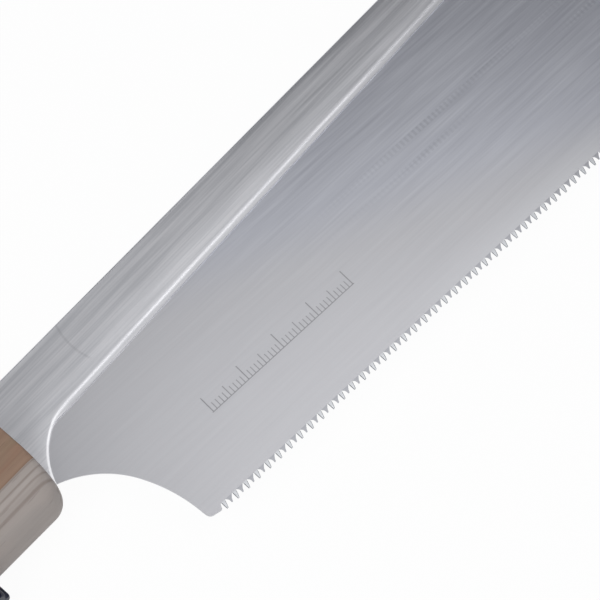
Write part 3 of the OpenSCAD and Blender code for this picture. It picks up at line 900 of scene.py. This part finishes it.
across = np.linspace(-glue_y, glue_y, core_cols)[None, :]
past_flat = np.maximum(np.abs(across) - flat[:, None], 0.0)
core_y = np.broadcast_to(across, (len(stations), core_cols))
core_z = np.sqrt(thick[:, None] ** 2 - past_flat**2)
start_turn = np.arcsin((glue_y - flat) / thick)[:, None]
sweep = start_turn + (math.pi / 2 - start_turn) * np.linspace(0, 1, cheek_cols)[None, :]
cheek_y = flat[:, None] + thick[:, None] * np.sin(sweep)
cheek_z = thick[:, None] * np.cos(sweep)
core = solid("Core_of_handle", [bar(core_y, core_z)])
upper_cheek = solid("Upper_cheek_of_handle", [bar(cheek_y, cheek_z)])
lower_cheek = solid("Lower_cheek_of_handle", [bar(-cheek_y, cheek_z)])
print("layers of the handle:", core.name, upper_cheek.name, lower_cheek.name)


# %% Slots and holes
def block(low, high):
    """A box between two corners."""
    corners = np.array(np.meshgrid([0, 1], [0, 1], [0, 1], indexing="ij")).reshape(3, 8).T
    spots = np.array(low) + corners * (np.array(high) - np.array(low))
    sides = [[0, 1, 3, 2], [4, 6, 7, 5], [0, 4, 5, 1], [2, 3, 7, 6], [0, 2, 6, 4], [1, 5, 7, 3]]
    return solid("cutter", [(spots, [np.array(sides)])])


def turned(centre, axis, profile, steps=64):
    """A solid of revolution: rows of (radius, distance along the axis), closed on the axis."""
    profile = np.array(profile, float)
    theta = np.linspace(0, 2 * math.pi, steps, endpoint=False)
    spin = np.stack([np.cos(theta), np.sin(theta)], -1)
    flat_parts = profile[:, None, :1] * spin[None]
    run = np.broadcast_to(profile[:, None, 1:], (len(profile), steps, 1))
    order = {"y": [0, 2, 1], "z": [0, 1, 2]}[axis]
    spots = np.concatenate([flat_parts, run], -1)[..., order] + np.array(centre)
    ends, last = np.arange(steps)[None], (len(profile) - 1) * steps
    return spots, [quads(len(profile), steps, wrap=True), ends, ends + last]


def hole(centre, axis, profile):
    """A round cutter on an axis, from its radii and the distances along it."""
    return solid("cutter", [turned(centre, axis, profile)])


def screw_bore(radius, low, high):
    """A round cutter on the screw's axis between two heights."""
    return hole((0, 0, mid_z), "y", [(radius, low), (radius, high)])


past_nose, past_core, inside_core, clear = 33, 9, 5, 0.3
slot_from, slot_half, neck_from, neck_half = -44.83, 1.69, 27.0, 0.86
hang_x, hang_r, hang_mouth, hang_bevel = -171.7, 3.0, 4.6, 0.7
rivet_xs, seat_r, seat_depth, over = (-29.3, -40.3), 3.03, 1.03, 1
screw_r, insert_r, flange_r = 2.7, 4.83, 6.7
core_span, cheek_span = (-past_core, -5.02), (-10.5, -6)
insert_span, flange_span = (-14.5, -9.8), (-18, -13.87)
full_t = 2 * half_t

slot_low = (slot_from, -past_core, mid_z - slot_half)
slot_high = (past_nose, past_core, mid_z + slot_half)
hang_profile = [
    (hang_mouth, -over),
    (hang_r, hang_bevel),
    (hang_r, full_t - hang_bevel),
    (hang_mouth, full_t + over),
]
hang = hole((hang_x, 0, 0), "z", hang_profile)
carve(core, [block(slot_low, slot_high), hang, screw_bore(screw_r, *core_span)])
seat_spans = [(-over, seat_depth), (full_t - seat_depth, full_t + over)]
for x in rivet_xs:
    carve(core, [hole((x, 0, 0), "z", [(seat_r, a), (seat_r, b)]) for a, b in seat_spans])

neck_z = (mid_z - neck_half, mid_z + neck_half)
neck_top, neck_bottom = spine_y + clear, spine_y - neck_depth - clear
upper_neck = block((neck_from, inside_core, neck_z[0]), (past_nose, neck_top, neck_z[1]))
lower_neck = block((neck_from, neck_bottom, neck_z[0]), (past_nose, -inside_core, neck_z[1]))
carve(upper_cheek, [upper_neck])
bores = [screw_bore(flange_r, *flange_span), screw_bore(insert_r, *insert_span)]
carve(lower_cheek, [lower_neck, *bores, screw_bore(screw_r, *cheek_span)])
dress(core, "handle", "handle_core", core_wood)
dress(upper_cheek, "handle", "upper_cheek", cheek_wood)
dress(lower_cheek, "handle", "lower_cheek", cheek_wood)

# %% [markdown]
# ## The knob
# The knob is a low thumb wheel of blackened steel with flutes. It could be a disc with grooves cut
# in, but a grid in polar coordinates gives softer edges: the radius is the smaller of the round
# profile and the flute circles, blended so that the edges are not sharp. The same grid turns into
# the six-sided pocket for the screw's head.

# %% Blackened steel
knob_steel, shader, place = start_finish("Blackened knob steel", Metallic=1.0)
speckle = grain(place, (2600.0, 2600.0, 2600.0), detail=2.0)
rubbed = grain(place, (160.0, 160.0, 160.0), shift=0.4)
shade = tint(rubbed, linear(24, 26, 37), linear(46, 49, 65))
dull = 0.36 + speckle * 0.12 + rubbed * 0.06
feed(shader, Base_Color=shade, Roughness=dull, Normal=relief(speckle, 0.00001))
print("knob steel")


# %% Fluted knob
def polar(radius, y):
    """Points round the screw's axis from radii on a grid of rows and angles, and heights."""
    theta = np.linspace(0, 2 * math.pi, radius.shape[1], endpoint=False)[None, :]
    y = np.broadcast_to(y, radius.shape)
    return np.stack([radius * np.cos(theta), y, mid_z + radius * np.sin(theta)], -1)


def six_sides(theta, across_flats):
    """Radius of a hexagon with a corner at angle zero."""
    return across_flats / 2 / np.cos(np.mod(theta, math.pi / 3) - math.pi / 6)


def softer(a, b, soft):
    """The smaller of two arrays, rounded where they meet."""
    blend = np.clip(0.5 + 0.5 * (b - a) / soft, 0.0, 1.0)
    return b + (a - b) * blend - soft * blend * (1 - blend)


knob_top, knob_r, knob_h, rim_r, knob_cols = -17.15, 9.0, 3.9, 0.6, 240
flutes, flute_r, flute_at, no_flute = 12, 2.0, 10.3, 11.5
flute_soft, flute_flare = 0.35, 0.5
inner_r, face_r, under_r = 4.0, 6.4, 6.5
bore_r, pocket_flats, pocket_bevel, pocket_floor = 2.73, 8.05, 0.25, 1.07
theta = np.linspace(0, 2 * math.pi, knob_cols, endpoint=False)
off = np.mod(theta, 2 * math.pi / flutes) - math.pi / flutes
side = flute_at * np.sin(off)
hollow = flute_at * np.cos(off) - np.sqrt(np.maximum(flute_r**2 - side**2, 0.0))
flute = np.where(np.abs(side) < flute_r, hollow, no_flute)
quarter = np.linspace(0, math.pi / 2, 10)
rim_in, rim_low = knob_r - rim_r, knob_h - rim_r
rim = np.concatenate(
    [rim_in + rim_r * np.sin(quarter), np.full(3, knob_r), rim_in + rim_r * np.cos(quarter)]
)
rim_v = np.concatenate(
    [
        rim_r - rim_r * np.cos(quarter),
        np.linspace(rim_r, rim_low, 5)[1:-1],
        rim_low + rim_r * np.sin(quarter),
    ]
)
past_rim = np.maximum(np.abs(rim_v - knob_h / 2) - (knob_h / 2 - rim_r), 0.0)
flute = flute[None, :] - past_rim[:, None] * flute_flare
outside = softer(np.broadcast_to(rim[:, None], (len(rim), knob_cols)), flute, flute_soft)
ones = np.ones((1, knob_cols))
pocket = six_sides(theta, pocket_flats)[None, :]
top_rows = [bore_r * ones, inner_r * ones, face_r * ones]
pocket_rows = [under_r * ones, pocket + pocket_bevel, pocket, pocket, bore_r * ones, bore_r * ones]
radius = np.concatenate([*top_rows, outside, *pocket_rows])
pocket_v = [knob_h, knob_h, knob_h - pocket_bevel, pocket_floor, pocket_floor, 0.0]
depth = np.concatenate([[0, 0, 0], rim_v, pocket_v])
spots = polar(radius, (knob_top - depth)[:, None])
knob = solid("Fluted_knob", [(spots, [quads(len(depth), knob_cols, wrap=True)])])
dress(knob, "screw", "clamp_knob", knob_steel, sharp=40.0)

# %% [markdown]
# ## The clamp screw
# A thread is a ridge that climbs one pitch in each turn, so its radius depends on the height and
# the angle together. The head is a hexagon whose corners are turned off to a cone.

# %% Bright screw steel
screw_steel, shader, place = start_finish("Bright screw steel", Metallic=1.0)
turning = grain(place, (200.0, 9000.0, 200.0), detail=1.0)
worn = grain(place, (300.0, 300.0, 300.0), shift=0.2)
steel = tint(turning * 0.5 + worn * 0.5, linear(168, 169, 172), linear(208, 208, 210))
feed(shader, Base_Color=steel, Roughness=0.22 + worn * 0.16, Normal=relief(turning, 0.000006))
print("screw steel")

# %% Threaded screw
screw_cols, thread_r, thread_depth = 48, 2.70, 0.48
thread_from, thread_to, thread_step, crest, flank = -18.15, -10.9, 1 / 16, 0.12, 0.76
head_flats, head_bevel_r, head_face_r = 8.0, 4.2, 3.6
shoulder_r, spigot_r, tip_r, centre_r = 2.2, 1.25, 1.05, 0.02
theta = np.linspace(0, 2 * math.pi, screw_cols, endpoint=False)
run = np.arange(thread_from, thread_to, thread_step)[:, None]
phase = -run - theta[None, :] / (2 * math.pi)
ridge = np.abs(np.mod(phase, 1.0) - 0.5) * 2
thread = thread_r - thread_depth * np.clip((ridge - crest) / flank, 0.0, 1.0)
head = six_sides(theta, head_flats)[None, :]
bevelled = np.minimum(head, head_bevel_r)
ones = np.ones((1, screw_cols))
head_rows = [centre_r * ones, head_face_r * ones, bevelled, head, head, thread_r * ones]
spigot_rows = [shoulder_r * ones, spigot_r * ones, spigot_r * ones, tip_r * ones, centre_r * ones]
radius = np.concatenate([*head_rows, thread, *spigot_rows])
head_y = [-20.65, -20.65, -20.5, -20.35, -18.25, -18.25]
spigot_y = [-10.52, -10.52, -8.62, -8.42, -8.42]
heights = np.concatenate([head_y, run[:, 0], spigot_y])
spots = polar(radius, heights[:, None])
screw = solid("Threaded_screw", [(spots, [quads(len(heights), screw_cols, wrap=True)])])
dress(screw, "screw", "clamp_screw", screw_steel, sharp=30.0)

# %% [markdown]
# ## Finishes of the pieces that keep their frame shape
# The socket, its stop, the filler, the rivets, the brass insert and the shoe are right as the frame
# has them. They only get a finish that shows how they were made.

# %% Fittings
def metal(name, dark, light, per_metre, dull, spread):
    """A worked metal: tool marks one way, soft stains, and a roughness that follows both."""
    finish, shader, place = start_finish(name, Metallic=1.0)
    marks = grain(place, per_metre, detail=2.0)
    stain = grain(place, (140.0, 140.0, 140.0), shift=0.5)
    colour = tint(marks * 0.5 + stain * 0.5, dark, light)
    dull = dull + stain * spread + marks * spread
    feed(shader, Base_Color=colour, Roughness=dull, Normal=relief(marks, 0.000008))
    return finish


socket_steel = metal(
    "Pressed socket steel", linear(128, 130, 133), linear(176, 178, 181),
    (60.0, 1500.0, 400.0), 0.32, 0.12,
)
rivet_steel = metal(
    "Turned rivet steel", linear(172, 173, 176), linear(216, 216, 218),
    (900.0, 900.0, 60.0), 0.20, 0.10,
)
brass = metal(
    "Turned brass", linear(176, 138, 62), linear(226, 192, 110),
    (120.0, 4000.0, 120.0), 0.22, 0.10,
)
for node, finish in {
    "tang_socket": socket_steel,
    "tang_stop": socket_steel,
    "tang_filler": socket_steel,
    "socket_rivets": rivet_steel,
    "tang_rivets": rivet_steel,
    "screw_insert": brass,
    "clamp_shoe": brass,
}.items():
    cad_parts[node].data.materials.clear()
    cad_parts[node].data.materials.append(finish)
print("seven fittings finished")
